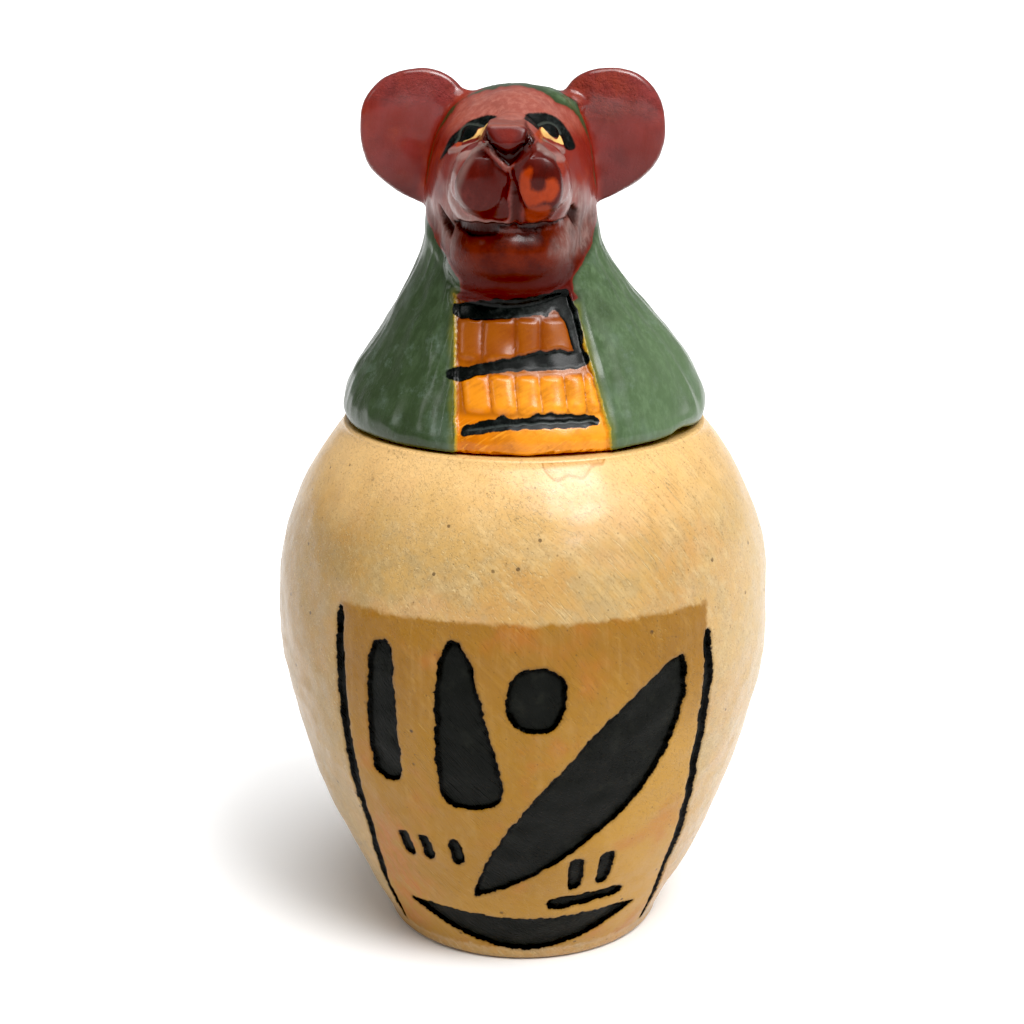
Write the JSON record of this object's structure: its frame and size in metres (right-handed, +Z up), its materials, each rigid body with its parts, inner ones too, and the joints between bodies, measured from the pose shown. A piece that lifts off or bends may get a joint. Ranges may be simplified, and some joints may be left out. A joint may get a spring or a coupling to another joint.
{
  "type": "canopic jar",
  "caption": "Small carved and painted stone jar, hollow and round-shouldered, with a lift-off lid carved as a baboon's head in a wig, made as a souvenir copy",
  "frame": {"origin": "centre of the flat underside of the foot", "axes": "+Z up through the jar's axis, the face and the panel towards -Y, +X to the right as seen from the front"},
  "size_m": [0.0746, 0.0745, 0.13],
  "materials": {
    "jar_stone": "cream limestone, varnished, with a yellow stained panel and black strokes",
    "painted_stone": "green, red-brown, orange and black paint on stone, varnished"
  },
  "bodies": {
    "root": {"jar_body": "jar_stone", "head_lid": "painted_stone"}
  },
  "joints": []
}
